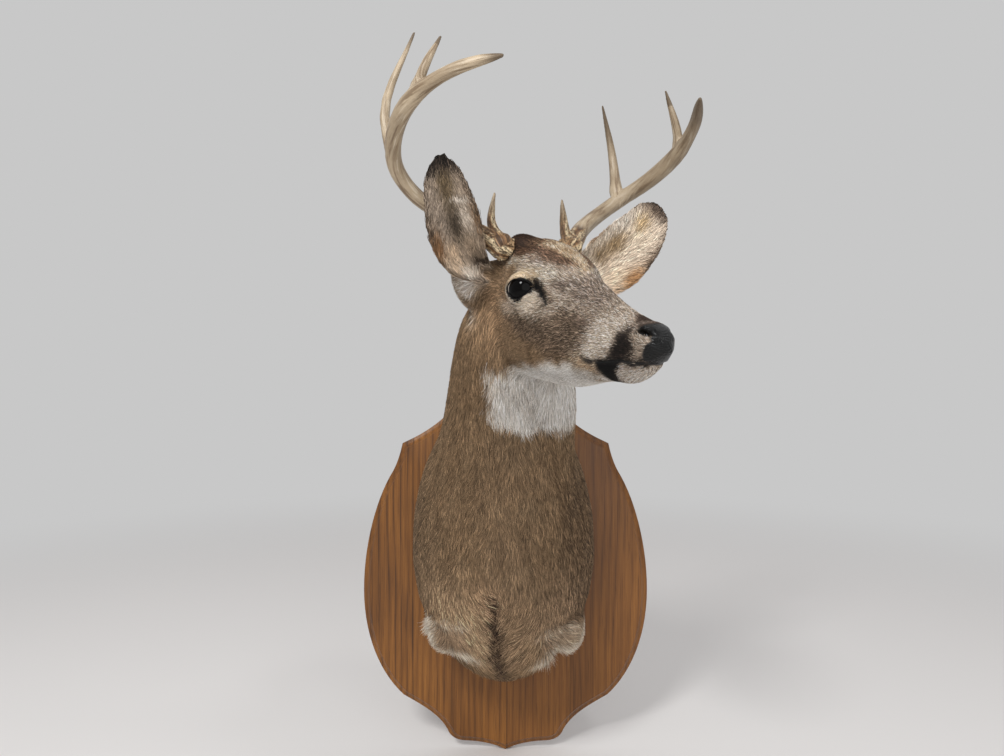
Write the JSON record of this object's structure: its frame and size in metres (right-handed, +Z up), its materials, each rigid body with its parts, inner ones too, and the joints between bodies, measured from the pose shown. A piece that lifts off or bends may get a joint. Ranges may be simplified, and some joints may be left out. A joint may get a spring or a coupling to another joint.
{
  "type": "deer shoulder mount",
  "caption": "White-tailed buck shoulder mount on a shaped oak shield, antlered head raised and turned to its left",
  "frame": {"origin": "middle of the shield's flat back face, where it rests on the wall", "axes": "+Y into the wall, so the buck looks out towards -Y; +Z up; +X to the side that the head turns to"},
  "size_m": [0.4718, 0.4971, 1.005],
  "materials": {
    "oak": "stained oak boards glued edge to edge, satin varnish",
    "coat": "short grey-brown winter hair, white under the throat",
    "face_coat": "very short grizzled hair",
    "ear_coat": "thin leaf of skin with hair on both sides",
    "nose_leather": "bare black pebbled skin, glossy as if wet",
    "eye_glass": "polished dark brown glass eye",
    "antler": "natural antler bone, smooth above, brown and rough near the burr"
  },
  "bodies": {
    "root": {"shield": "oak", "trunk": "coat", "neck": "coat", "head": "face_coat", "nose": "nose_leather", "right_eye": "eye_glass", "left_eye": "eye_glass", "right_ear": "ear_coat", "left_ear": "ear_coat", "right_antler_base": "antler", "right_antler_middle": "antler", "right_antler_tip": "antler", "right_brow_tine": "antler", "right_second_tine": "antler", "right_third_tine": "antler", "left_antler_base": "antler", "left_antler_middle": "antler", "left_antler_tip": "antler", "left_brow_tine": "antler", "left_second_tine": "antler", "left_third_tine": "antler"}
  },
  "joints": []
}
